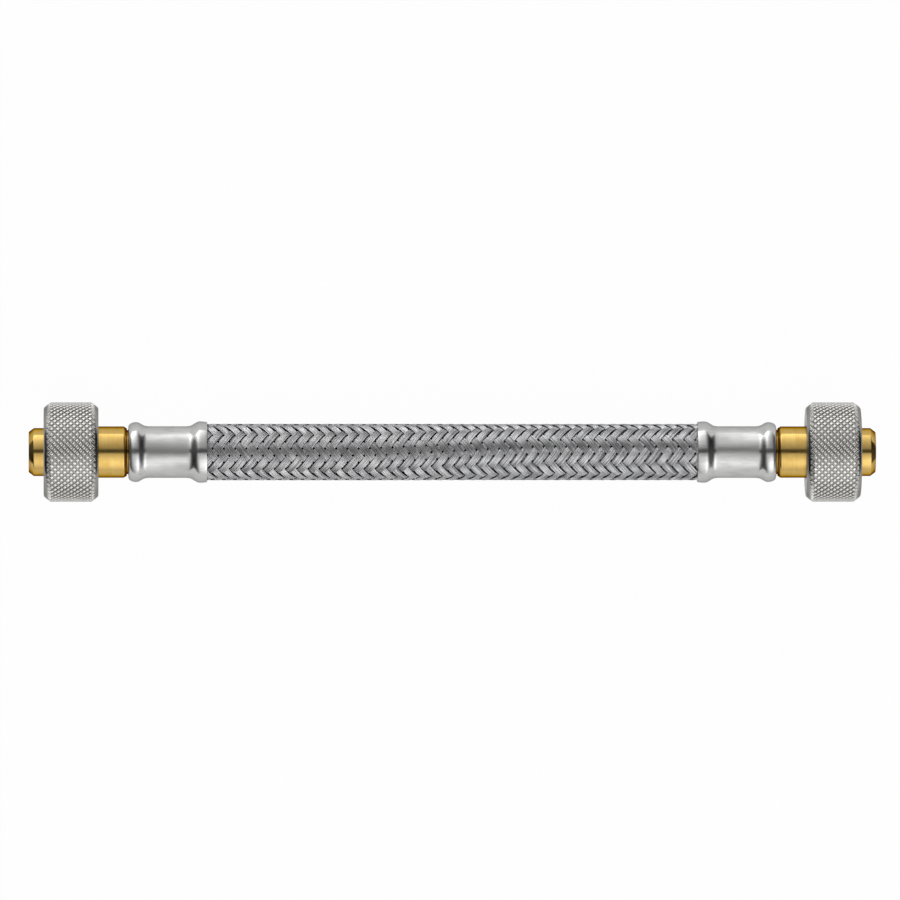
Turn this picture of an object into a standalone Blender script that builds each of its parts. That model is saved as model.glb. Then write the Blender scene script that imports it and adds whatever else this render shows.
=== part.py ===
"""Flexible connector hose: a steel-braided hose with a captive knurled union nut at each end.

The hose lies along X with its middle at the origin and its axis on the X axis. Each end is built
outward from its ferrule's mouth, along its own +X, and the two ends are the same set of pieces.
"""
import math

import bmesh
import bpy

MM = 0.001

# Clearances
FIT = 0.15 * MM                 # between pieces pressed or laid on each other
SEAT = 0.3 * MM                 # between faces that butt along the axis
RING_CLEARANCE = 0.25 * MM      # round the shank, inside the slip ring
NUT_CLEARANCE = 0.3 * MM        # round the shank, inside the nut's hole
COLLAR_CLEARANCE = 0.375 * MM   # round the collar, inside the thread

# Inner tube
TUBE_BORE_RADIUS = 4.0 * MM
TUBE_WALL = 1.1 * MM
TUBE_CRIMPED_WALL = 0.68 * MM
TUBE_END_ROOM = 2.4 * MM        # from the ferrule's nut end back to the tube's end

# Braid: right-hand and left-hand strands, each passing over two and under two
HOSE_LENGTH = 102 * MM          # bare braid from one ferrule's mouth to the other's
BRAID_WALL = 0.65 * MM
BRAID_CRIMPED_WALL = 0.35 * MM
WEAVE_DEPTH = 0.35 * MM         # from a strand's crown down to the gap beside it
WEAVE_LEAD = 28 * MM            # length in which a strand goes once round
STRANDS_EACH_WAY = 12
ROWS_OVER = 2                   # neighbouring rows of crossings with the same strand on top
WEAVE_HIDDEN = 0.9 * MM         # how far the relief runs in under the left ferrule's lip
WEAVE_DRIFT = math.radians(-19) # how far the rows wander round the hose
DRIFT_LENGTH = 50 * MM          # length at the middle over which they wander

# Ferrule
FERRULE_LENGTH = 16.4 * MM
FERRULE_WALL = 0.35 * MM
LIP_LENGTH = 1.5 * MM           # straight part of the flared mouth
FLARE_LENGTH = 2.45 * MM        # from the straight lip down to the crimped barrel
BEAD_LENGTH = 3.65 * MM
BEAD_RISE = 0.82 * MM           # of the locking bead over the barrel
BEAD_POINTS = 6
FLARE_POINTS = 3

# Nipple, turned from one bar
BORE_RADIUS = 3.0 * MM
TAIL_WALL = 0.35 * MM
TAIL_LEAD = 3.2 * MM            # plain end of the tail, in front of its barbs
BARB_HEIGHT = 0.25 * MM
BARB_LENGTH = 2.6 * MM
BARB_COUNT = 3
NECK_RISE = 0.85 * MM           # of the neck over the squeezed tube's bore
SHANK_CHAMFER = 0.45 * MM
SHANK_EXPOSED = 6.2 * MM        # from the ferrule to the nut when the nut is forward
COLLAR_RISE = 1.75 * MM         # of the collar over the shank
COLLAR_LENGTH = 2.0 * MM
PILOT_WALL = 2.0 * MM
PILOT_STEP = 0.35 * MM          # from the shank down to the pilot
PILOT_PROUD = 3.1 * MM          # how far the pilot stands out of the nut
PILOT_FACE_WIDTH = 0.6 * MM     # flat ring at the tip between the two chamfers
BORE_CHAMFER = 0.3 * MM

# Slip ring and seal ring
SLIP_RING_LENGTH = 0.7 * MM
SEAL_LENGTH = 3.8 * MM
SEAL_INSET = 0.1 * MM           # from the collar's edge in to the seal's
SEAL_LAND = 1.0 * MM            # straight part of the seal behind its cone
SEAL_NOSE_WALL = 0.55 * MM

# Union nut
NUT_LENGTH = 11.4 * MM
NUT_WALL = 1.975 * MM           # from the thread's root to the knurl's crowns
NUT_FACE_WIDTH = 0.575 * MM     # flat rim inside the chamfer
NUT_BACK_WALL = 2.4 * MM
THREAD_DEPTH = 0.9 * MM
UNDERCUT_LENGTH = 2.0 * MM      # behind the thread
KNURL_PITCH = 1.335 * MM
KNURL_DEPTH = 0.37 * MM

SIDES = 24                      # of a turned piece
SHARP_ANGLE = math.radians(32)

# Sizes that follow from the ones above
TUBE_RADIUS = TUBE_BORE_RADIUS + TUBE_WALL
BRAID_BORE_RADIUS = TUBE_RADIUS + FIT
BRAID_RADIUS = BRAID_BORE_RADIUS + BRAID_WALL
TAIL_RADIUS = BORE_RADIUS + TAIL_WALL
BARB_RADIUS = TAIL_RADIUS + BARB_HEIGHT
CRIMPED_TUBE_BORE = BARB_RADIUS + FIT
CRIMPED_TUBE_RADIUS = CRIMPED_TUBE_BORE + TUBE_CRIMPED_WALL
CRIMPED_BRAID_BORE = CRIMPED_TUBE_RADIUS + FIT
CRIMPED_BRAID_RADIUS = CRIMPED_BRAID_BORE + BRAID_CRIMPED_WALL
BARREL_RADIUS = CRIMPED_BRAID_RADIUS + FIT + FERRULE_WALL
LIP_RADIUS = BRAID_RADIUS + FIT + FERRULE_WALL
NECK_RADIUS = CRIMPED_TUBE_BORE + NECK_RISE
PILOT_RADIUS = BORE_RADIUS + PILOT_WALL
PILOT_CHAMFER = PILOT_WALL - BORE_CHAMFER - PILOT_FACE_WIDTH
SHANK_RADIUS = PILOT_RADIUS + PILOT_STEP
COLLAR_RADIUS = SHANK_RADIUS + COLLAR_RISE
SEAL_RADIUS = COLLAR_RADIUS - SEAL_INSET
THREAD_RADIUS = COLLAR_RADIUS + COLLAR_CLEARANCE
THREAD_ROOT_RADIUS = THREAD_RADIUS + THREAD_DEPTH
NUT_RADIUS = THREAD_ROOT_RADIUS + NUT_WALL
NUT_CHAMFER = NUT_WALL - NUT_FACE_WIDTH
NUT_HOLE_RADIUS = SHANK_RADIUS + NUT_CLEARANCE
CRIMP_START = LIP_LENGTH + FLARE_LENGTH
TUBE_END = FERRULE_LENGTH - TUBE_END_ROOM
BARBS_START = TUBE_END - BARB_COUNT * BARB_LENGTH
TAIL_START = BARBS_START - TAIL_LEAD
NUT_BACK = FERRULE_LENGTH + SHANK_EXPOSED
NUT_FRONT = NUT_BACK + NUT_LENGTH
SLIP_RING_BACK = NUT_BACK + NUT_BACK_WALL + SEAT
COLLAR_BACK = SLIP_RING_BACK + SLIP_RING_LENGTH + SEAT
COLLAR_FRONT = COLLAR_BACK + COLLAR_LENGTH
PILOT_TIP = NUT_FRONT + PILOT_PROUD


def clear_scene():
    for old in list(bpy.data.objects):
        bpy.data.objects.remove(old, do_unlink=True)


def make_material(name, colour, roughness, metallic):
    material = bpy.data.materials.new(name)
    material.use_nodes = True
    shader = material.node_tree.nodes["Principled BSDF"]
    shader.inputs["Base Color"].default_value = (*colour, 1.0)
    shader.inputs["Roughness"].default_value = roughness
    shader.inputs["Metallic"].default_value = metallic
    material.diffuse_color = (*colour, 1.0)
    return material


def on_circle(x, radius, angle):
    """A point at an angle measured from straight up, positive towards -Y."""
    return (x, -radius * math.sin(angle), radius * math.cos(angle))


def add_ring(bm, x, radius, sides=SIDES, turn=0.0):
    return [bm.verts.new(on_circle(x, radius, turn + 2 * math.pi * i / sides)) for i in range(sides)]


def join_rings(bm, ring_a, ring_b):
    """A band of quads between two rings with the same number of points."""
    count = len(ring_a)
    for i in range(count):
        j = (i + 1) % count
        bm.faces.new((ring_a[i], ring_a[j], ring_b[j], ring_b[i]))


def bridge_rings(bm, ring_a, ring_b):
    """A band of triangles between two rings whose counts or angles differ."""
    def angle_of(vert):
        return math.atan2(-vert.co.y, vert.co.z)

    a = sorted(ring_a, key=angle_of)
    b = sorted(ring_b, key=angle_of)
    angles_a = [angle_of(vert) for vert in a] + [angle_of(a[0]) + 2 * math.pi]
    angles_b = [angle_of(vert) for vert in b] + [angle_of(b[0]) + 2 * math.pi]
    i = j = 0
    while i < len(a) or j < len(b):
        if j == len(b) or (i < len(a) and angles_a[i + 1] <= angles_b[j + 1]):
            bm.faces.new((a[i], a[(i + 1) % len(a)], b[j % len(b)]))
            i += 1
        else:
            bm.faces.new((a[i % len(a)], b[(j + 1) % len(b)], b[j]))
            j += 1


def add_turned_wall(bm, outline, sides=SIDES):
    """Revolves an open outline of (x, radius) points and returns its rings."""
    rings = [add_ring(bm, x, radius, sides) for x, radius in outline]
    for ring_a, ring_b in zip(rings, rings[1:]):
        join_rings(bm, ring_a, ring_b)
    return rings


def finish_mesh(name, bm):
    bmesh.ops.recalc_face_normals(bm, faces=bm.faces)
    mesh = bpy.data.meshes.new(name)
    bm.to_mesh(mesh)
    bm.free()
    mesh.shade_smooth()
    mesh.set_sharp_from_angle(angle=SHARP_ANGLE)
    return mesh


def turned_mesh(name, outline, sides=SIDES):
    """A closed piece turned from a closed outline of (x, radius) points."""
    bm = bmesh.new()
    rings = add_turned_wall(bm, outline, sides)
    join_rings(bm, rings[-1], rings[0])
    return finish_mesh(name, bm)


def add_lattice_skin(bm, xs, count, radius_at, angle_at, is_float):
    """A skin of high and low points set like a chessboard.

    Column i is at xs[i], and row m is at angle_at(m, x). Points with i + m even are crowns. A square
    between four points folds along its two low corners, which leaves a groove, or along its two
    crowns where is_float says that one strand runs over both.
    """
    rings = []
    for i, x in enumerate(xs):
        rings.append([bm.verts.new(on_circle(x, radius_at(i, m), angle_at(m, x))) for m in range(count)])
    for i in range(len(xs) - 1):
        for m in range(count):
            n = (m + 1) % count
            corners = [rings[i][m], rings[i + 1][m], rings[i + 1][n], rings[i][n]]
            crowns_first = (i + m) % 2 == 0
            if crowns_first != is_float(i, m):
                corners = corners[1:] + corners[:1]
            a, b, c, d = corners
            bm.faces.new((a, b, c))
            bm.faces.new((a, c, d))
    return rings


def nut_mesh():
    """Knurled outside, chamfered rims, and a bore with room for the thread and the collar."""
    knurl_edge = NUT_CHAMFER - KNURL_DEPTH
    band = NUT_LENGTH - 2 * knurl_edge
    across = round(band / KNURL_PITCH)
    teeth = round(2 * math.pi * NUT_RADIUS / KNURL_PITCH)
    step = band / (2 * across)
    xs = [NUT_BACK + knurl_edge + step * i for i in range(2 * across + 1)]
    last = len(xs) - 1

    def radius_at(i, m):
        is_crown = (i + m) % 2 == 0 and 0 < i < last
        return NUT_RADIUS if is_crown else NUT_RADIUS - KNURL_DEPTH

    def angle_at(m, x):
        return math.pi * (m + 0.5) / teeth

    bm = bmesh.new()
    skin = add_lattice_skin(bm, xs, 2 * teeth, radius_at, angle_at, lambda i, m: False)
    rim_radius = NUT_RADIUS - NUT_CHAMFER
    back_rim = add_ring(bm, NUT_BACK, rim_radius, 2 * teeth, angle_at(0, 0))
    front_rim = add_ring(bm, NUT_FRONT, rim_radius, 2 * teeth, angle_at(0, 0))
    join_rings(bm, back_rim, skin[0])
    join_rings(bm, skin[-1], front_rim)

    floor = NUT_BACK + NUT_BACK_WALL
    bore = add_turned_wall(bm, [
        (NUT_FRONT, THREAD_ROOT_RADIUS),
        (NUT_FRONT - THREAD_DEPTH, THREAD_RADIUS),
        (floor + UNDERCUT_LENGTH, THREAD_RADIUS),
        (floor + UNDERCUT_LENGTH, THREAD_ROOT_RADIUS),
        (floor, THREAD_ROOT_RADIUS),
        (floor, NUT_HOLE_RADIUS),
        (NUT_BACK, NUT_HOLE_RADIUS),
    ])
    bridge_rings(bm, front_rim, bore[0])
    bridge_rings(bm, back_rim, bore[-1])
    return finish_mesh("union_nut", bm)


def nipple_mesh():
    """Barbed tail, neck, shank, collar and pilot on one bore."""
    outline = [(TAIL_START, BORE_RADIUS), (TAIL_START, TAIL_RADIUS)]
    for i in range(BARB_COUNT):
        barb = BARBS_START + i * BARB_LENGTH
        outline += [(barb, TAIL_RADIUS), (barb + BARB_LENGTH - SEAT, BARB_RADIUS)]
    outline += [
        (TUBE_END, TAIL_RADIUS),
        (TUBE_END + SEAT, TAIL_RADIUS),
        (TUBE_END + SEAT, NECK_RADIUS),
        (FERRULE_LENGTH + SEAT, NECK_RADIUS),
        (FERRULE_LENGTH + SEAT, SHANK_RADIUS - SHANK_CHAMFER),
        (FERRULE_LENGTH + SEAT + SHANK_CHAMFER, SHANK_RADIUS),
        (COLLAR_BACK, SHANK_RADIUS),
        (COLLAR_BACK, COLLAR_RADIUS),
        (COLLAR_FRONT, COLLAR_RADIUS),
        (COLLAR_FRONT, PILOT_RADIUS),
        (PILOT_TIP - PILOT_CHAMFER, PILOT_RADIUS),
        (PILOT_TIP, PILOT_RADIUS - PILOT_CHAMFER),
        (PILOT_TIP, BORE_RADIUS + BORE_CHAMFER),
        (PILOT_TIP - BORE_CHAMFER, BORE_RADIUS),
    ]
    return turned_mesh("nipple", outline)


def seal_ring_mesh():
    """Cone-nosed ring on the pilot, against the collar."""
    back = COLLAR_FRONT + SEAT
    hole = PILOT_RADIUS + FIT
    return turned_mesh("seal_ring", [
        (back, hole),
        (back, SEAL_RADIUS),
        (back + SEAL_LAND, SEAL_RADIUS),
        (back + SEAL_LENGTH, hole + SEAL_NOSE_WALL),
        (back + SEAL_LENGTH, hole),
    ])


def slip_ring_mesh():
    """Flat ring between the collar and the nut's back wall."""
    hole = SHANK_RADIUS + RING_CLEARANCE
    front = SLIP_RING_BACK + SLIP_RING_LENGTH
    return turned_mesh("slip_ring", [
        (SLIP_RING_BACK, hole),
        (SLIP_RING_BACK, COLLAR_RADIUS),
        (front, COLLAR_RADIUS),
        (front, hole),
    ])


def ferrule_side(offset):
    """One side of the ferrule's sheet from the mouth to the rim, inset by offset."""
    points = [(0, LIP_RADIUS - offset)]
    for i in range(FLARE_POINTS + 1):
        share = i / FLARE_POINTS
        drop = (LIP_RADIUS - BARREL_RADIUS) * (1 - math.cos(math.pi * share)) / 2
        points.append((LIP_LENGTH + FLARE_LENGTH * share, LIP_RADIUS - drop - offset))
    bead_start = FERRULE_LENGTH - BEAD_LENGTH
    bead_centre = FERRULE_LENGTH - BEAD_LENGTH / 2
    half_length = BEAD_LENGTH / 2 - offset
    points.append((bead_start, BARREL_RADIUS - offset))
    for i in range(BEAD_POINTS):
        angle = math.pi * (i + 0.5) / BEAD_POINTS
        x = bead_centre - half_length * math.cos(angle)
        points.append((x, BARREL_RADIUS - offset + BEAD_RISE * math.sin(angle)))
    rim = NECK_RADIUS + FIT
    points.append((FERRULE_LENGTH - offset, BARREL_RADIUS - offset))
    points.append((FERRULE_LENGTH - offset, rim))
    return points


def ferrule_mesh():
    """Thin sheet sleeve: flared mouth, crimped barrel, locking bead and a rim turned in to the neck."""
    outside = ferrule_side(0)
    inside = ferrule_side(FERRULE_WALL)
    return turned_mesh("ferrule", outside + inside[::-1])


def build_end(name, place, turn, meshes, materials):
    """One set of end pieces, under an empty at the ferrule's mouth."""
    end = bpy.data.objects.new(name + "_end", None)
    end.location = place
    end.rotation_euler = (0, 0, turn)
    bpy.context.collection.objects.link(end)
    for piece, mesh in meshes.items():
        obj = bpy.data.objects.new(name + "_" + piece, mesh)
        obj.parent = end
        bpy.context.collection.objects.link(obj)
        if not mesh.materials:
            mesh.materials.append(materials[piece])


def inner_tube_mesh():
    """Rubber tube, thinner where each ferrule squeezes it on the nipple's barbs."""
    half = HOSE_LENGTH / 2
    outside = [
        (half + TUBE_END, CRIMPED_TUBE_RADIUS),
        (half + CRIMP_START, CRIMPED_TUBE_RADIUS),
        (half, TUBE_RADIUS),
    ]
    inside = [
        (half, TUBE_BORE_RADIUS),
        (half + CRIMP_START, CRIMPED_TUBE_BORE),
        (half + TUBE_END, CRIMPED_TUBE_BORE),
    ]
    left_outside = [(-x, radius) for x, radius in reversed(outside)]
    left_inside = [(-x, radius) for x, radius in reversed(inside)]
    return turned_mesh("inner_tube", outside + left_outside + left_inside + inside)


def braid_mesh():
    """Sleeve with its herringbone relief where it shows, plain where it is crimped."""
    rows = 2 * STRANDS_EACH_WAY
    row_angle = 2 * math.pi / rows
    step = WEAVE_LEAD / rows
    half = HOSE_LENGTH / 2
    start = -half - WEAVE_HIDDEN
    count = math.ceil((half + WEAVE_HIDDEN - start) / step)
    xs = [start + step * i for i in range(count + 1)]
    drift_start = -DRIFT_LENGTH / 2

    def angle_at(m, x):
        share = min(max((x - drift_start) / DRIFT_LENGTH, 0), 1)
        return row_angle * (m + 0.5) + WEAVE_DRIFT * share

    def radius_at(i, m):
        return BRAID_RADIUS if (i + m) % 2 == 0 else BRAID_RADIUS - WEAVE_DEPTH

    def right_hand_on_top(m):
        return (m + 1) // ROWS_OVER % 2 == 0

    def is_float(i, m):
        same_strand = right_hand_on_top(m) == right_hand_on_top(m + 1)
        return same_strand and right_hand_on_top(m) == ((i + m) % 2 == 0)

    bm = bmesh.new()
    skin = add_lattice_skin(bm, xs, rows, radius_at, angle_at, is_float)
    half_crimp = half + CRIMP_START
    end = half + TUBE_END

    def plain_rings(side):
        turn = angle_at(0, side * half)
        crimped = add_ring(bm, side * half_crimp, CRIMPED_BRAID_RADIUS, rows, turn)
        last = add_ring(bm, side * end, CRIMPED_BRAID_RADIUS, rows, turn)
        join_rings(bm, crimped, last)
        return crimped, last

    left_crimped, left_last = plain_rings(-1)
    right_crimped, right_last = plain_rings(1)
    join_rings(bm, skin[0], left_crimped)
    join_rings(bm, skin[-1], right_crimped)
    bore = add_turned_wall(bm, [
        (-end, CRIMPED_BRAID_BORE),
        (-half_crimp, CRIMPED_BRAID_BORE),
        (-half, BRAID_BORE_RADIUS),
        (half, BRAID_BORE_RADIUS),
        (half_crimp, CRIMPED_BRAID_BORE),
        (end, CRIMPED_BRAID_BORE),
    ])
    bridge_rings(bm, left_last, bore[0])
    bridge_rings(bm, right_last, bore[-1])
    return finish_mesh("braid_sleeve", bm)


def add_piece(name, mesh, material):
    mesh.materials.append(material)
    bpy.context.collection.objects.link(bpy.data.objects.new(name, mesh))


def main():
    clear_scene()
    brass = make_material("brass", (0.78, 0.55, 0.20), 0.30, 1.0)
    nickel = make_material("nickel_plate", (0.60, 0.59, 0.56), 0.32, 1.0)
    sheet_steel = make_material("sheet_steel", (0.72, 0.72, 0.71), 0.34, 1.0)
    wire_steel = make_material("wire_steel", (0.62, 0.62, 0.62), 0.28, 1.0)
    tube_rubber = make_material("tube_rubber", (0.03, 0.03, 0.03), 0.70, 0.0)
    seal_rubber = make_material("seal_rubber", (0.02, 0.02, 0.02), 0.55, 0.0)
    acetal = make_material("acetal", (0.85, 0.84, 0.80), 0.45, 0.0)

    meshes = {
        "nipple": nipple_mesh(),
        "seal_ring": seal_ring_mesh(),
        "slip_ring": slip_ring_mesh(),
        "union_nut": nut_mesh(),
        "ferrule": ferrule_mesh(),
    }
    materials = {
        "nipple": brass,
        "seal_ring": seal_rubber,
        "slip_ring": acetal,
        "union_nut": nickel,
        "ferrule": sheet_steel,
    }
    half = HOSE_LENGTH / 2
    build_end("right", (half, 0, 0), 0, meshes, materials)
    build_end("left", (-half, 0, 0), math.pi, meshes, materials)
    add_piece("inner_tube", inner_tube_mesh(), tube_rubber)
    add_piece("braid_sleeve", braid_mesh(), wire_steel)


main()
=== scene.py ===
"""Looks of the flexible connector hose: a steel-braided hose with a captive knurled nut at each end."""
import math

import bpy
import numpy as np
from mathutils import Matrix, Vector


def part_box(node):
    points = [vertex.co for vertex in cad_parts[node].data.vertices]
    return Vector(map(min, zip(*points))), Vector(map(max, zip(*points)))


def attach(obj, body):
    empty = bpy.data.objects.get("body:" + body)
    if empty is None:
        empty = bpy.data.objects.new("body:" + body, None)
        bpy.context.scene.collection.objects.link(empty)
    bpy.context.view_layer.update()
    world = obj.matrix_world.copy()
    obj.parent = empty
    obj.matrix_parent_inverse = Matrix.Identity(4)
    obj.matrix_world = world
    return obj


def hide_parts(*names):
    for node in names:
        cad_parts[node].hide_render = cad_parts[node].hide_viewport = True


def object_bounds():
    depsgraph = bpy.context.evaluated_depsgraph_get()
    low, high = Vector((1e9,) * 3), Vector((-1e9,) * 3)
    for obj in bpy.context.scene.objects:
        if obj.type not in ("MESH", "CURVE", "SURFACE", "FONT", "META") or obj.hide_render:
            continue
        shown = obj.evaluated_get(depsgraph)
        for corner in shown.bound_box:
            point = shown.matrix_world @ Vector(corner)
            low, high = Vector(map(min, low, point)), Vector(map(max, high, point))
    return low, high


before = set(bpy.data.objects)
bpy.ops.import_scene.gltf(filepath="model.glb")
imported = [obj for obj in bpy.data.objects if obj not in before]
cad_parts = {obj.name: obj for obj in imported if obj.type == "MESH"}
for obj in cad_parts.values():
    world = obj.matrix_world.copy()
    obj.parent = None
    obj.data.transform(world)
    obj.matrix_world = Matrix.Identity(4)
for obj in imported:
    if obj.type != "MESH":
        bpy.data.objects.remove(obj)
cad_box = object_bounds()


# Camera
# The hose lies flat and is seen from above by a long lens. It stands a little to the left, so the right
# nut just shows its inner face.
MM = 0.001
CAMERA_DISTANCE = 3.5
CAMERA_LEAN = math.radians(1.2) # towards the left end
VIEW_WIDTH = 187.3 * MM         # what the picture takes in from side to side, at the hose's axis
VIEW_CENTRE = (-0.46 * MM, 0.43 * MM)

camera_data = bpy.data.cameras.new("camera")
camera_data.lens = camera_data.sensor_width * CAMERA_DISTANCE / VIEW_WIDTH
camera = bpy.data.objects.new("camera", camera_data)
camera.location = (
    VIEW_CENTRE[0] - CAMERA_DISTANCE * math.sin(CAMERA_LEAN),
    VIEW_CENTRE[1],
    CAMERA_DISTANCE * math.cos(CAMERA_LEAN),
)
camera.rotation_euler.y = -CAMERA_LEAN
bpy.context.collection.objects.link(camera)
bpy.context.scene.camera = camera


# Braided sleeve
# Bright stainless wires, laid side by side in flat strands. Twelve strands wind each way round the tube,
# each over two and under two of the others, and both ends are caught under the crimped ferrules.
STRANDS_EACH_WAY = 12
WIRES_IN_STRAND = 8
WIRE_RADIUS = 0.092 * MM
WIRE_SPACING = 0.18 * MM
WEAVE_LEAD = 28 * MM            # length in which a strand goes once round
WEAVE_LIFT = 0.2 * MM           # how far a strand swings out and in as it passes over and under
WEAVE_START = 1.24 * MM         # the first column of crossings lies this far inside the left ferrule
WEAVE_DRIFT = math.radians(-19) # how far the crossings wander round the hose
DRIFT_LENGTH = 36 * MM          # length at the middle over which they wander
SQUEEZED_RADIUS = 4.93 * MM     # outside of the braid where the ferrule grips it
SQUEEZE_START = 3.95 * MM       # from a ferrule's mouth to where its barrel grips
SQUEEZED_LIFT = 0.6             # share of the lift that is left there
SAMPLES_PER_CROSSING = 2.4
STRAY = 0.012 * MM              # how far a wire wanders sideways in its strand
WIRE_COLOUR = (0.78, 0.78, 0.79)
WIRE_DULL_COLOUR = (0.25, 0.25, 0.26)
# painted shade, towards which a wire is darkened where it passes under the crossing strands
WIRE_PAINTED_SHADE_COLOUR = (0.05, 0.05, 0.052)


class Signal:
    """A shader node's output. Arithmetic on it adds Math nodes, which are for numbers."""

    def __init__(self, socket):
        self.socket = socket

    @staticmethod
    def node(tree, kind, settings=None, sockets=None, out=0):
        """A new node's output. Its settings are made first, then its sockets' values and links."""
        made = tree.nodes.new(kind)
        for name, value in (settings or {}).items():
            if name == "stops":
                while len(made.color_ramp.elements) < len(value):
                    made.color_ramp.elements.new(1.0)
                for element, (position, shade) in zip(made.color_ramp.elements, value):
                    element.position = position
                    element.color = (shade, shade, shade, 1)
            else:
                setattr(made, name, value)
        for name, value in (sockets or {}).items():
            if isinstance(value, Signal):
                tree.links.new(value.socket, made.inputs[name])
            else:
                made.inputs[name].default_value = value
        return Signal(made.outputs[out])

    def maths(self, operation, first, second=0.0):
        sockets = {0: first, 1: second}
        return Signal.node(self.socket.id_data, "ShaderNodeMath", {"operation": operation}, sockets)

    def __add__(self, other):
        return self.maths("ADD", self, other)

    def __sub__(self, other):
        return self.maths("SUBTRACT", self, other)

    def __rsub__(self, other):
        return self.maths("SUBTRACT", other, self)

    def __mul__(self, other):
        return self.maths("MULTIPLY", self, other)

    __radd__ = __add__
    __rmul__ = __mul__

    def between(self, low, high):
        """This signal's share of the way from low to high, from 0 to 1."""
        sockets = {"Value": self, "From Min": low, "From Max": high}
        return Signal.node(self.socket.id_data, "ShaderNodeMapRange", None, sockets)

    def blend(self, first, second):
        """One colour where this signal is 0 and another where it is 1."""
        first, second = ((*c, 1) if isinstance(c, tuple) else c for c in (first, second))
        settings = {"data_type": "RGBA"}
        return Signal.node(self.socket.id_data, "ShaderNodeMix", settings, {0: self, 6: first, 7: second}, 2)

    def stretched(self, scales):
        """This vector with each of its parts scaled."""
        settings = {"operation": "MULTIPLY"}
        return Signal.node(self.socket.id_data, "ShaderNodeVectorMath", settings, {0: self, 1: scales})

    def noise(self, size, detail=2.0):
        """Noise of about 0 to 1 whose patches are size across, where this signal is a place."""
        sockets = {"Vector": self, "Scale": 1 / size, "Detail": detail}
        return Signal.node(self.socket.id_data, "ShaderNodeTexNoise", None, sockets)

    def feed(self, socket):
        self.socket.id_data.links.new(self.socket, socket)


def start_finish(name, colour, metallic, roughness, edge_tint=(1, 1, 1)):
    """A material with its plain values set, its shader, and the places on its surface in metres. A darker
    edge tint darkens a metal where it is seen at a slant."""
    material = bpy.data.materials.new(name)
    material.use_nodes = True
    shader = material.node_tree.nodes["Principled BSDF"]
    shader.inputs["Base Color"].default_value = (*colour, 1)
    shader.inputs["Metallic"].default_value = metallic
    shader.inputs["Roughness"].default_value = roughness
    shader.inputs["Specular Tint"].default_value = (*edge_tint, 1)
    place = Signal.node(material.node_tree, "ShaderNodeTexCoord", out="Object")
    return material, shader, place


def roughen(shader, height, depth):
    """Bumps of that depth in metres, where height goes from 0 to 1."""
    sockets = {"Height": height, "Distance": depth}
    Signal.node(shader.id_data, "ShaderNodeBump", None, sockets).feed(shader.inputs["Normal"])


def wire_finish():
    material, shader, place = start_finish("drawn_wire", WIRE_COLOUR, 1.0, 0.25, (0.08, 0.08, 0.08))
    own_tone, under = (
        Signal.node(shader.id_data, "ShaderNodeAttribute", {"attribute_name": name}, out="Fac")
        for name in ("tone", "under"))
    patches = place.noise(2.5 * MM).between(0.3, 0.7)
    dullness = own_tone * 0.6 + patches * 0.35
    colour = dullness.blend(WIRE_COLOUR, WIRE_DULL_COLOUR)
    # Painted shade: each wire is darkened towards near black where it dives under the crossing strands.
    (under.between(0.5, 0.9) * 0.35).blend(colour, WIRE_PAINTED_SHADE_COLOUR).feed(shader.inputs["Base Color"])
    (0.15 + dullness * 0.15).feed(shader.inputs["Roughness"])
    roughen(shader, place.noise(0.08 * MM), 0.004 * MM)
    return material


def unit(vectors):
    return vectors / np.linalg.norm(vectors, axis=-1, keepdims=True)


def wire_mesh(name, centres, unders, tones):
    """All wires of one hand as a mesh. Centres holds places by wire and by point along it, and unders how
    deep they lie, from 0 to 1. Each wire is a closed bar with four sides, three of which face outward."""
    ahead = unit(np.gradient(centres, axis=1))
    outward = unit(centres * (0, 1, 1))
    side = unit(np.cross(ahead, outward))
    turns = np.radians((-105, -35, 35, 105))[:, None]
    rim = WIRE_RADIUS * (np.cos(turns) * outward[:, :, None] + np.sin(turns) * side[:, :, None])
    corners = centres[:, :, None] + rim
    wires, points, sides = corners.shape[:3]

    index = np.arange(wires * points * sides).reshape(wires, points, sides)
    after = np.roll(index, -1, axis=2)
    bands = np.stack((index[:, :-1], after[:, :-1], after[:, 1:], index[:, 1:]), axis=-1)
    caps = np.concatenate((index[:, 0, ::-1], index[:, -1]))
    mesh = bpy.data.meshes.new(name)
    mesh.from_pydata(corners.reshape(-1, 3), [], np.concatenate((bands.reshape(-1, 4), caps)).tolist())
    mesh.shade_smooth()
    shades = {"tone": np.repeat(tones, points * sides), "under": np.repeat(unders, sides)}
    for shade, values in shades.items():
        mesh.attributes.new(shade, "FLOAT", "POINT").data.foreach_set("value", values.astype(np.float32))
    return mesh


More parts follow.
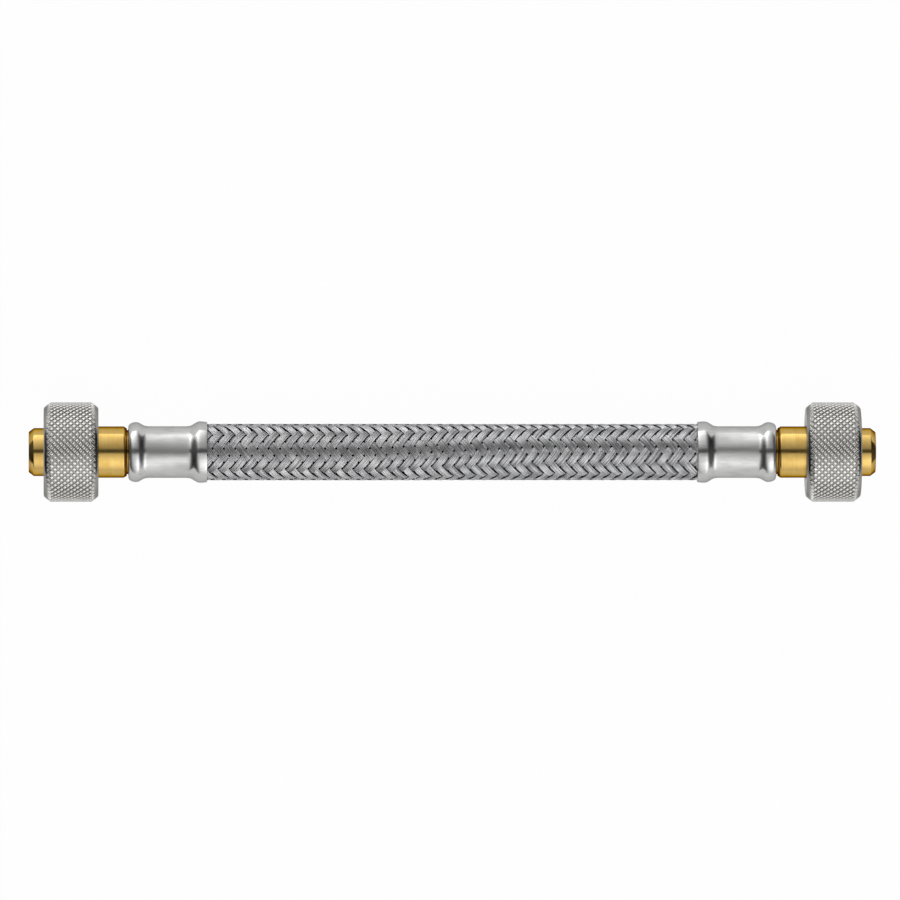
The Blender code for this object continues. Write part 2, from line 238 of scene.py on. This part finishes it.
def strand_centres(hand, mouth, end, radius, draw):
    """Centrelines of all wires of one hand, and how deep they lie. Hand is 1 for strands whose angle grows
    with x, or -1.

    Columns of crossings are one step apart along the hose, and rows are one row angle apart round it.
    """
    rows = 2 * STRANDS_EACH_WAY
    step = WEAVE_LEAD / rows
    strand_spacing = WEAVE_LEAD * math.sin(math.atan2(2 * math.pi * radius, WEAVE_LEAD)) / STRANDS_EACH_WAY
    first_x = -mouth - WEAVE_START
    bare = np.arange(-mouth - SQUEEZE_START, mouth + SQUEEZE_START, step / SAMPLES_PER_CROSSING)
    right = np.arange(bare[-1] + step, end, step)
    x = np.concatenate((-right[::-1], bare, right))
    column = (x - first_x) / step
    drift = WEAVE_DRIFT * np.clip(x / DRIFT_LENGTH + 0.5, 0, 1)
    squeeze = np.clip((abs(x) - mouth - WEAVE_START) / (SQUEEZE_START - WEAVE_START), 0, 1)
    lift = WEAVE_LIFT * (1 - (1 - SQUEEZED_LIFT) * squeeze)
    middle = radius + (SQUEEZED_RADIUS - radius) * squeeze - WIRE_RADIUS - lift

    centres, unders = [], []
    for strand in range(STRANDS_EACH_WAY):
        for wire in range(WIRES_IN_STRAND):
            phase = draw.uniform(0, 2 * math.pi)
            waves = np.sin(column * draw.uniform(0.15, 0.4) + phase)
            across = (wire - (WIRES_IN_STRAND - 1) / 2) * WIRE_SPACING + STRAY * waves
            offset = across / strand_spacing
            row = hand * (column - 2 * (strand + offset))
            over = np.cos(math.pi / 2 * (hand * (column - 2 * strand - offset) + 0.5))
            over = hand * over * (1.5 - 0.5 * over ** 2)
            ride = middle + lift * over
            angle = 2 * math.pi / rows * (row + 0.5) + drift
            centres.append(np.stack((x, -ride * np.sin(angle), ride * np.cos(angle)), axis=-1))
            unders.append((1 - over) / 2)
    return np.array(centres), np.array(unders)


drawn_wire = wire_finish()
braid_end, braid_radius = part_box("braid_sleeve")[1].x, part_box("braid_sleeve")[1].z
hose_mouth = -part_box("left_ferrule")[1].x
draw = np.random.default_rng(4)
strands = {}
for hand, name in ((1, "right_hand_strands"), (-1, "left_hand_strands")):
    centres, unders = strand_centres(hand, hose_mouth, braid_end, braid_radius, draw)
    mesh = wire_mesh(name, centres, unders, draw.random(len(centres)) ** 2)
    mesh.materials.append(drawn_wire)
    strands[name] = bpy.data.objects.new(name, mesh)
    bpy.context.collection.objects.link(strands[name])
    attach(strands[name], "hose")
    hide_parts("braid_sleeve")


# Inner tube
# Black rubber, extruded, and pushed on each nipple's tail before the ferrule is crimped over it. It shows
# only as darkness between the strands and inside the bore.
RUBBER_COLOUR = (0.022, 0.022, 0.023)


def rubber_finish(name, grain):
    material, shader, place = start_finish(name, RUBBER_COLOUR, 0.0, 0.7)
    bloom = place.noise(1.2 * MM).between(0.4, 0.8)
    bloom.blend(RUBBER_COLOUR, (0.05, 0.05, 0.05)).feed(shader.inputs["Base Color"])
    (0.6 + bloom * 0.2).feed(shader.inputs["Roughness"])
    roughen(shader, place.noise(grain), 0.02 * MM)
    return material


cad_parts["inner_tube"].material_slots[0].material = rubber_finish("tube_rubber", 0.3 * MM)


# Ferrules
# Thin stainless sheet, drawn into a sleeve with a flared mouth over the braid and a rounded locking bead at
# the nut end. Its rim is turned in behind the bead, round the nipple's neck, and its barrel is crimped.
SHEET = 0.35 * MM
FERRULE_LENGTH = 16.4 * MM
LIP_LENGTH = 1.5 * MM
LIP_CROWN = 0.14 * MM           # how far the lip's outside falls towards the mouth
FLARE_LENGTH = 2.45 * MM
BARREL_RADIUS = 5.43 * MM
BEAD_RADIUS = 6.25 * MM
BEAD_FRONT = 1.65 * MM          # from the bead's crest to the ferrule's end
BEAD_BACK = 2.2 * MM            # from the bead's crest down to the barrel
BEAD_SHOULDER = 0.95 * MM       # how far the bead's round front comes down before it turns in
RIM_RADIUS = 4.72 * MM
CURVE_STEPS = 14
TURNED_SIDES = 120
CRIMP_JAWS = 8
CRIMP_DEPTH = 0.08 * MM         # how far each jaw flattens the barrel
CRIMP_TURN = math.radians(7)    # where the middle of a jaw lies
CRIMP_RUN = 0.5 * MM            # length in which a jaw's mark fades at the barrel's ends
SHEET_EDGE_ROUND = 0.1 * MM
SHEET_COLOUR = (0.54, 0.54, 0.535)
SHEET_DULL_COLOUR = (0.37, 0.37, 0.365)


def turned_mesh(name, rows, sides=TURNED_SIDES):
    """A closed piece whose rows, from (x, radius) points, run once round its section. A radius may also be
    an array with one value for each of the sides."""
    angles = 2 * math.pi * np.arange(sides) / sides
    corners = []
    for x, radius in rows:
        corners.append(np.stack((np.full(sides, x), -radius * np.sin(angles), radius * np.cos(angles)), -1))
    index = np.arange(len(rows) * sides).reshape(len(rows), sides)
    beside = np.roll(index, -1, axis=1)
    faces = np.stack((index, beside, np.roll(beside, -1, axis=0), np.roll(index, -1, axis=0)), axis=-1)
    mesh = bpy.data.meshes.new(name)
    mesh.from_pydata(np.concatenate(corners), [], faces.reshape(-1, 4).tolist())
    mesh.shade_smooth()
    mesh.set_sharp_from_angle(angle=math.radians(32))
    return mesh


def rounded(corners, steps=4):
    """An outline's (x, radius) points, from corners of (x, radius, rounding)."""
    points = []
    for i, (x, radius, rounding) in enumerate(corners):
        here = np.array((x, radius))
        if not rounding:
            points.append((x, radius))
            continue
        back = unit(np.array(corners[i - 1][:2]) - here)
        ahead = unit(np.array(corners[(i + 1) % len(corners)][:2]) - here)
        half = math.acos(np.clip(back @ ahead, -1, 1)) / 2
        centre = here + unit(back + ahead) * rounding / math.sin(half)
        start = here + back * rounding / math.tan(half) - centre
        stop = here + ahead * rounding / math.tan(half) - centre
        arc = math.pi - 2 * half
        for share in np.linspace(0, 1, steps + 1):
            spoke = (math.sin((1 - share) * arc) * start + math.sin(share * arc) * stop) / math.sin(arc)
            points.append(tuple(centre + spoke))
    return points


def ferrule_side(lip_radius, inset):
    """The sheet's side from the mouth to the rim, moved in from the outside by inset."""
    side = []
    for share in np.linspace(0, 1, CURVE_STEPS + 1):
        drop = (lip_radius - BARREL_RADIUS) * (1 - math.cos(math.pi * share)) / 2
        side.append((LIP_LENGTH + FLARE_LENGTH * share, lip_radius - drop - inset))
    crest = FERRULE_LENGTH - BEAD_FRONT
    angles = 2 * math.pi * np.arange(TURNED_SIDES) / TURNED_SIDES
    flattened = CRIMP_DEPTH * (1 + np.cos(CRIMP_JAWS * (angles - CRIMP_TURN))) / 2
    for x in (LIP_LENGTH + FLARE_LENGTH + CRIMP_RUN, crest - BEAD_BACK - CRIMP_RUN):
        side.append((x, BARREL_RADIUS - inset - flattened))
    rise = BEAD_RADIUS - BARREL_RADIUS
    for share in np.linspace(0, 1, CURVE_STEPS + 1):
        lift = rise * (1 - math.cos(math.pi * share)) / 2
        side.append((crest - BEAD_BACK * (1 - share), BARREL_RADIUS + lift - inset))
    for turn in np.linspace(0, math.pi / 2, CURVE_STEPS)[1:]:
        x = crest + (BEAD_FRONT - inset) * math.sin(turn)
        side.append((x, BEAD_RADIUS - inset - (BEAD_SHOULDER - inset) * (1 - math.cos(turn))))
    side.append((FERRULE_LENGTH - inset, RIM_RADIUS))
    return side


def ferrule_outline(lip_radius):
    crown = [(LIP_LENGTH * share, lip_radius - LIP_CROWN * (1 - share) ** 2, 0) for share in (0.3, 0.5, 0.7)]
    mouth = rounded([
        (LIP_LENGTH, lip_radius - SHEET, 0),
        (0, lip_radius - SHEET, SHEET_EDGE_ROUND),
        (0, lip_radius - LIP_CROWN, SHEET_EDGE_ROUND),
        *crown,
    ])
    return mouth + ferrule_side(lip_radius, 0) + ferrule_side(lip_radius, SHEET)[:0:-1]


def sheet_finish():
    material, shader, place = start_finish("satin_sheet", SHEET_COLOUR, 1.0, 0.24, (0.5, 0.5, 0.5))
    streaks = place.stretched((0.06, 1, 1)).noise(0.3 * MM, 4).between(0.3, 0.7)
    smudges = place.stretched((0.4, 1, 1)).noise(1.1 * MM, 3).between(0.45, 0.75)
    dullness = streaks * 0.3 + smudges * 0.4
    dullness.blend(SHEET_COLOUR, SHEET_DULL_COLOUR).feed(shader.inputs["Base Color"])
    along = Signal.node(shader.id_data, "ShaderNodeSeparateXYZ", None, {0: place})
    barrel_start = LIP_LENGTH + FLARE_LENGTH
    barrel_end = FERRULE_LENGTH - BEAD_FRONT - BEAD_BACK
    in_barrel = along.between(barrel_start - CRIMP_RUN, barrel_start)
    in_barrel = in_barrel * (1 - along.between(barrel_end, barrel_end + CRIMP_RUN))
    (0.13 + in_barrel * 0.16 + streaks * 0.05 + smudges * 0.06).feed(shader.inputs["Roughness"])
    roughen(shader, streaks, 0.004 * MM)
    return material


def add_end_piece(side, piece, mesh, finish, body):
    """Places a piece, made with the ferrule's mouth at the origin, at one end of the hose."""
    obj = bpy.data.objects.new(f"{side}_{piece}_dressed", mesh)
    bpy.context.collection.objects.link(obj)
    obj.location.x = hose_mouth if side == "right" else -hose_mouth
    obj.rotation_euler.z = 0 if side == "right" else math.pi
    if not mesh.materials:
        mesh.materials.append(finish)
    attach(obj, body)
    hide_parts(f"{side}_{piece}")


satin_sheet = sheet_finish()
ferrule = turned_mesh("ferrule", ferrule_outline(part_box("right_ferrule")[1].z))
for side in ("left", "right"):
    add_end_piece(side, "ferrule", ferrule, satin_sheet, "hose")


# Nipples
# Brass, turned from bar: a barbed tail in the tube, a neck for the ferrule's rim, the shank, a collar that
# holds the nut, and the pilot that stands out in front. The cutting tool leaves fine rings on it.
BORE_RADIUS = 3.0 * MM
TAIL_RADIUS = 3.35 * MM
TAIL_START = 3.0 * MM
BARB_RADIUS = 3.6 * MM
BARB_LENGTH = 2.6 * MM
BARB_HEEL = 0.3 * MM            # from a barb's crest down to the foot of the next
BARB_COUNT = 3
TAIL_END = 14.3 * MM
NECK_RADIUS = 4.6 * MM
SHANK_START = 16.7 * MM
SHANK_RADIUS = 5.35 * MM
COLLAR_START = 26.3 * MM
COLLAR_LENGTH = 2.0 * MM
COLLAR_RADIUS = 7.1 * MM
PILOT_RADIUS = 5.0 * MM
PILOT_CHAMFER_LENGTH = 1.05 * MM
PILOT_CHAMFER_DROP = 0.8 * MM
SHANK_CHAMFER_LENGTH = 0.65 * MM
SHANK_CHAMFER_DROP = 0.42 * MM
BORE_CHAMFER = 0.3 * MM
BRASS_COLOUR = (0.60, 0.42, 0.14)
BRASS_DARK_COLOUR = (0.46, 0.25, 0.035)
# painted shade on the pilot's chamfer and beside the ferrule
BRASS_PAINTED_SHADE_COLOUR = (0.2, 0.09, 0.012)


def nipple_outline(tip):
    corners = [(TAIL_START, BORE_RADIUS, 0), (TAIL_START, TAIL_RADIUS, 0.1 * MM)]
    barbs_start = TAIL_END - BARB_HEEL - BARB_COUNT * BARB_LENGTH
    for i in range(BARB_COUNT):
        barb = barbs_start + i * BARB_LENGTH
        corners += [(barb, TAIL_RADIUS, 0), (barb + BARB_LENGTH - BARB_HEEL, BARB_RADIUS, 0)]
    collar_end = COLLAR_START + COLLAR_LENGTH
    corners += [
        (TAIL_END - BARB_HEEL, TAIL_RADIUS, 0),
        (TAIL_END, TAIL_RADIUS, 0),
        (TAIL_END, NECK_RADIUS, 0.1 * MM),
        (SHANK_START, NECK_RADIUS, 0),
        (SHANK_START, SHANK_RADIUS - SHANK_CHAMFER_DROP, 0.08 * MM),
        (SHANK_START + SHANK_CHAMFER_LENGTH, SHANK_RADIUS, 0.3 * MM),
        (COLLAR_START, SHANK_RADIUS, 0),
        (COLLAR_START, COLLAR_RADIUS, 0.1 * MM),
        (collar_end, COLLAR_RADIUS, 0.1 * MM),
        (collar_end, PILOT_RADIUS, 0),
        (tip - PILOT_CHAMFER_LENGTH, PILOT_RADIUS, 0.4 * MM),
        (tip, PILOT_RADIUS - PILOT_CHAMFER_DROP, 0.12 * MM),
        (tip, BORE_RADIUS + BORE_CHAMFER, 0.08 * MM),
        (tip - BORE_CHAMFER, BORE_RADIUS, 0.08 * MM),
    ]
    return rounded(corners)


def brass_finish(tip):
    """Brass with turning rings, and painted shade, a dark brown, on the pilot's chamfer and on the shank's
    chamfer beside the ferrule.
    """
    material, shader, place = start_finish("turned_brass", BRASS_COLOUR, 1.0, 0.14, (0.16, 0.08, 0.02))
    rings = place.stretched((1, 0.02, 0.02)).noise(0.22 * MM, 3).between(0.3, 0.7)
    tarnish = place.noise(2 * MM, 4).between(0.4, 0.75)
    along = Signal.node(shader.id_data, "ShaderNodeSeparateXYZ", None, {0: place})
    shank_edge = SHANK_START + SHANK_CHAMFER_LENGTH
    # Painted shade: up to half strength across the pilot's chamfer, growing towards the tip, and full
    # strength from the ferrule up to the middle of the shank's chamfer.
    painted_shade = along.between(tip - PILOT_CHAMFER_LENGTH, tip) * 0.5
    painted_shade = painted_shade + 1 - along.between(SHANK_START + SHANK_CHAMFER_LENGTH / 2, shank_edge)
    colour = (rings * 0.25 + tarnish * 0.35).blend(BRASS_COLOUR, BRASS_DARK_COLOUR)
    (painted_shade * 0.85).blend(colour, BRASS_PAINTED_SHADE_COLOUR).feed(shader.inputs["Base Color"])
    (0.1 + rings * 0.04 + tarnish * 0.08).feed(shader.inputs["Roughness"])
    roughen(shader, rings, 0.003 * MM)
    return material


pilot_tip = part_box("right_nipple")[1].x - hose_mouth
turned_brass = brass_finish(pilot_tip)
nipple = turned_mesh("nipple", nipple_outline(pilot_tip))
for side in ("left", "right"):
    add_end_piece(side, "nipple", nipple, turned_brass, "hose")


# Seal rings
# Black rubber, moulded with a cone nose that the nut presses into the seat of the valve or pipe it is
# screwed on. Each sits on its pilot, against the collar.
SEAL_HOLE = 5.15 * MM
SEAL_RADIUS = 7.0 * MM
SEAL_LAND = 1.0 * MM
SEAL_NOSE = 0.55 * MM

seal_rubber = rubber_finish("seal_rubber", 0.15 * MM)
seal_back, seal_front = (corner.x - hose_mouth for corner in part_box("right_seal_ring"))
seal = turned_mesh("seal_ring", rounded([
    (seal_back, SEAL_HOLE, 0.1 * MM),
    (seal_back, SEAL_RADIUS, 0.15 * MM),
    (seal_back + SEAL_LAND, SEAL_RADIUS, 0.3 * MM),
    (seal_front, SEAL_HOLE + SEAL_NOSE, 0.2 * MM),
    (seal_front, SEAL_HOLE, 0.1 * MM),
]))
for side in ("left", "right"):
    add_end_piece(side, "seal_ring", seal, seal_rubber, "hose")


# Slip rings
# White acetal washers between each collar and its nut's back wall. They slide along the shank with the nut
# and let it turn without twisting the hose.
SLIP_HOLE = 5.6 * MM
ACETAL_COLOUR = (0.82, 0.81, 0.77)


def acetal_finish():
    material, shader, place = start_finish("acetal", ACETAL_COLOUR, 0.0, 0.4)
    clouds = place.noise(1.5 * MM).between(0.3, 0.7)
    clouds.blend(ACETAL_COLOUR, (0.74, 0.73, 0.69)).feed(shader.inputs["Base Color"])
    (0.35 + clouds * 0.12).feed(shader.inputs["Roughness"])
    roughen(shader, place.noise(0.2 * MM), 0.003 * MM)
    return material


acetal = acetal_finish()
slip_back, slip_front = (corner.x - hose_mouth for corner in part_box("right_slip_ring"))
slip_ring = turned_mesh("slip_ring", rounded([
    (slip_back, SLIP_HOLE, 0.08 * MM),
    (slip_back, COLLAR_RADIUS, 0.12 * MM),
    (slip_front, COLLAR_RADIUS, 0.12 * MM),
    (slip_front, SLIP_HOLE, 0.08 * MM),
]))
for side in ("left", "right"):
    add_end_piece(side, "slip_ring", slip_ring, acetal, f"{side}_slip_ring")


# Union nuts
# Turned brass with satin nickel plate. A pair of rollers presses the crossed knurl into the rim, and both
# ends are chamfered afterwards. Each runs loose on its shank and has a pipe thread inside.
KNURL_TEETH = 49
KNURL_ACROSS = 7
KNURL_DEPTH = 0.27 * MM
KNURL_EDGE = 1.03 * MM          # from an end face to the first crossing of grooves
KNURL_START = 0.62 * MM         # from an end face to where the grooves begin to bite
KNURL_FADE = 0.4 * MM           # length in which they reach their full depth
KNURL_GROOVE = 0.2              # half a groove's width, as a share of the teeth's spacing
KNURL_SAMPLES = 12              # mesh points across one tooth
CHAMFER_LENGTH = 1.45 * MM
CHAMFER_DROP = 1.1 * MM
CHAMFER_ROUND = 0.55 * MM       # rounding between a chamfer and its end face
NUT_HOLE = 5.65 * MM
BACK_WALL = 2.4 * MM
UNDERCUT = 2.0 * MM
THREAD_CREST = 7.475 * MM
THREAD_ROOT = 8.375 * MM
THREAD_PITCH = 1.337 * MM
THREAD_LEAD_IN = 0.1 * MM       # how far its chamfer opens past the root
THREAD_SAMPLES = 8
NICKEL_COLOUR = (0.71, 0.70, 0.67)
NICKEL_DARK_COLOUR = (0.44, 0.43, 0.405)
# Painted shade: the knurl's grooves, the chamfers and the rounded edges are darkened towards this near
# black, by the two shares below.
NICKEL_PAINTED_SHADE_COLOUR = (0.06, 0.058, 0.055)
GROOVE_PAINTED_SHADE = 0.42
CHAMFER_PAINTED_SHADE = 0.62


def knurled_rows(back, front, radius, angles):
    """Rows of the rim from back to front, with both sets of grooves and the chamfers cut through them, and
    how much painted shade each point gets, from 0 to 1: the grooves and the chamfers are painted darker than
    the pressed teeth."""
    step = (front - back - 2 * KNURL_EDGE) / (2 * KNURL_ACROSS)
    fine = 2 * step / KNURL_SAMPLES
    lead = math.ceil(KNURL_EDGE / fine)
    places = np.arange(-lead, KNURL_ACROSS * KNURL_SAMPLES + lead + 1) * fine + back + KNURL_EDGE
    places = np.clip(places, back + CHAMFER_ROUND / 2, front - CHAMFER_ROUND / 2)
    rows, dullness = [], []
    for x in np.unique(places):
        column = (x - back - KNURL_EDGE) / step
        row = angles * KNURL_TEETH / math.pi - 0.5
        cut = 0
        for line in ((column + row) / 2, (column - row) / 2):
            from_groove = abs(line - np.floor(line) - 0.5) / KNURL_GROOVE
            cut = np.maximum(cut, np.clip(1 - from_groove, 0, 1))
        from_end = min(x - back, front - x)
        reach = np.clip((from_end - KNURL_START) / KNURL_FADE, 0, 1)
        chamfer = CHAMFER_DROP * max(0, 1 - from_end / CHAMFER_LENGTH)
        rows.append((x, radius - chamfer - KNURL_DEPTH * cut * reach))
        dullness.append(GROOVE_PAINTED_SHADE * cut * reach + CHAMFER_PAINTED_SHADE * (1 - reach))
    return rows, np.concatenate(dullness)


def threaded_rows(front, back, angles):
    """Rows of the nut's thread from front to back, with a lead-in chamfer at the front."""
    rows = []
    for x in np.arange(front, back, -THREAD_PITCH / THREAD_SAMPLES):
        turn = x / THREAD_PITCH - angles / (2 * math.pi)
        from_crest = abs(turn - np.floor(turn) - 0.5) * 2
        depth = np.clip(from_crest * 1.3 - 0.15, 0, 1) * (THREAD_ROOT - THREAD_CREST)
        lead_in = THREAD_ROOT + THREAD_LEAD_IN - (front - x)
        rows.append((x, np.maximum(THREAD_CREST + depth, lead_in)))
    return rows


def nut_mesh(back, front, radius):
    """The nut, with its painted shade on each point. The rounded edges get as much painted shade as the
    chamfers.
    """
    sides = KNURL_TEETH * KNURL_SAMPLES
    angles = 2 * math.pi * np.arange(sides) / sides
    wall_face = back + BACK_WALL
    edge = 0.12 * MM
    face_radius = radius - CHAMFER_DROP
    rows, dullness = knurled_rows(back, front, radius, angles)
    rows += rounded([
        (front - CHAMFER_LENGTH, radius, 0),
        (front, face_radius, CHAMFER_ROUND),
        (front, THREAD_ROOT + THREAD_LEAD_IN, 0),
    ])[1:]
    rows += threaded_rows(front, wall_face + UNDERCUT, angles)[1:]
    rows += rounded([
        (wall_face + UNDERCUT, THREAD_CREST, 0),
        (wall_face + UNDERCUT, THREAD_ROOT, 0),
        (wall_face, THREAD_ROOT, edge),
        (wall_face, NUT_HOLE, edge),
        (back, NUT_HOLE, edge),
        (back, face_radius, CHAMFER_ROUND),
        (back + CHAMFER_LENGTH, radius, 0),
    ])[:-1]
    for _, rim in rows[len(dullness) // sides:]:
        near_edge = np.clip(1 - 2 * (face_radius - rim) / CHAMFER_ROUND, 0, 1)
        dullness = np.append(dullness, np.full(sides, CHAMFER_PAINTED_SHADE * near_edge))
    mesh = turned_mesh("union_nut", rows, sides)
    mesh.attributes.new("dullness", "FLOAT", "POINT").data.foreach_set("value", dullness.astype(np.float32))
    return mesh


def nickel_finish():
    material, shader, place = start_finish("satin_nickel", NICKEL_COLOUR, 1.0, 0.25, (0.5, 0.5, 0.5))
    dullness = Signal.node(shader.id_data, "ShaderNodeAttribute", {"attribute_name": "dullness"}, out="Fac")
    clouds = place.noise(1.8 * MM, 4).between(0.35, 0.7)
    grain = place.noise(0.15 * MM, 2).between(0.3, 0.7)
    colour = (clouds * 0.3 + grain * 0.2).blend(NICKEL_COLOUR, NICKEL_DARK_COLOUR)
    # Painted shade: the grooves, chamfers and rounded edges are darkened towards near black, and the same
    # mask makes them less rough.
    dullness.blend(colour, NICKEL_PAINTED_SHADE_COLOUR).feed(shader.inputs["Base Color"])
    (0.27 + clouds * 0.08 + grain * 0.06 - dullness * 0.28).feed(shader.inputs["Roughness"])
    roughen(shader, grain, 0.004 * MM)
    return material


satin_nickel = nickel_finish()
nut_low, nut_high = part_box("right_union_nut")
nut = nut_mesh(nut_low.x - hose_mouth, nut_high.x - hose_mouth, nut_high.z)
for side in ("left", "right"):
    add_end_piece(side, "union_nut", nut, satin_nickel, f"{side}_union_nut")


# Floor
# A plain white table that the two nuts rest on. Part of its white is its own, so the hose's shadow on it
# stays faint.
FLOOR_REACH = 40.0              # from the hose to the table's edges, far out of sight
FLOOR_COLOUR = 0.93
FLOOR_OWN_WHITE = 0.97


def floor_finish():
    material = bpy.data.materials.new("white_table")
    material.use_nodes = True
    tree = material.node_tree
    tree.nodes.remove(tree.nodes["Principled BSDF"])
    paint = Signal.node(tree, "ShaderNodeBsdfDiffuse", None, {"Color": (*(FLOOR_COLOUR,) * 3, 1)})
    white = Signal.node(tree, "ShaderNodeEmission", None, {"Strength": 1.0})
    seen = Signal.node(tree, "ShaderNodeLightPath", out="Is Camera Ray")
    for ray in ("Is Glossy Ray", "Is Transmission Ray"):
        seen = seen + Signal.node(tree, "ShaderNodeLightPath", out=ray)
    sockets = {0: seen * FLOOR_OWN_WHITE, 1: paint, 2: white}
    Signal.node(tree, "ShaderNodeMixShader", None, sockets).feed(
        tree.nodes["Material Output"].inputs["Surface"])
    return material


floor_mesh = bpy.data.meshes.new("floor")
floor_corners = [
    (FLOOR_REACH * x, FLOOR_REACH * y, cad_box[0].z) for x, y in ((-1, -1), (1, -1), (1, 1), (-1, 1))]
floor_mesh.from_pydata(floor_corners, [], [(0, 1, 2, 3)])
floor_mesh.materials.append(floor_finish())
floor = bpy.data.objects.new("floor", floor_mesh)
bpy.context.collection.objects.link(floor)


# Light
# A soft tent over the table, long in the hose's direction: a broad white panel on each side, grey cloth
# between them overhead with a narrow slot at the very top, and dark ends. The panels are turned a little, so
# two opposite corners are brighter than the others.
TENT_STRENGTH = 2.0
TENT_PANELS = (                 # degrees from straight up towards +Y, and the brightness there
    (-92, 0.42), (-78, 0.54), (-62, 0.74), (-46, 0.80), (-32, 0.68), (-20, 0.54), (-8, 0.40),
    (-2, 0.05), (10, 0.05), (16, 0.24), (33, 0.37), (47, 0.50), (61, 0.66), (77, 0.92), (92, 1.2),
)
TENT_END = (0.52, 0.82)         # how far a direction leans to an end where the light starts and stops fading
TENT_END_BRIGHTNESS = 0.04
TENT_TURN = 1.7                 # how much brighter the corners at -X +Y and +X -Y are than the other two


def tent_light():
    world = bpy.data.worlds.new("tent")
    world.use_nodes = True
    bpy.context.scene.world = world
    tree = world.node_tree
    direction = Signal.node(tree, "ShaderNodeTexCoord", out="Generated")
    x, y, z = (Signal.node(tree, "ShaderNodeSeparateXYZ", None, {0: direction}, out) for out in range(3))
    lean = y.maths("ARCTAN2", y, z) * (0.5 / math.pi) + 0.5
    stops = [(degrees / 360 + 0.5, brightness) for degrees, brightness in TENT_PANELS]
    panels = Signal.node(tree, "ShaderNodeValToRGB", {"stops": stops}, {"Fac": lean})
    end = x.maths("ABSOLUTE", x).between(*TENT_END)
    level = panels * (1 - end) + end * TENT_END_BRIGHTNESS
    level = level * (1 - x * y * TENT_TURN)
    level.feed(tree.nodes["Background"].inputs["Color"])
    tree.nodes["Background"].inputs["Strength"].default_value = TENT_STRENGTH


tent_light()

bpy.context.scene.view_settings.view_transform = "Standard"
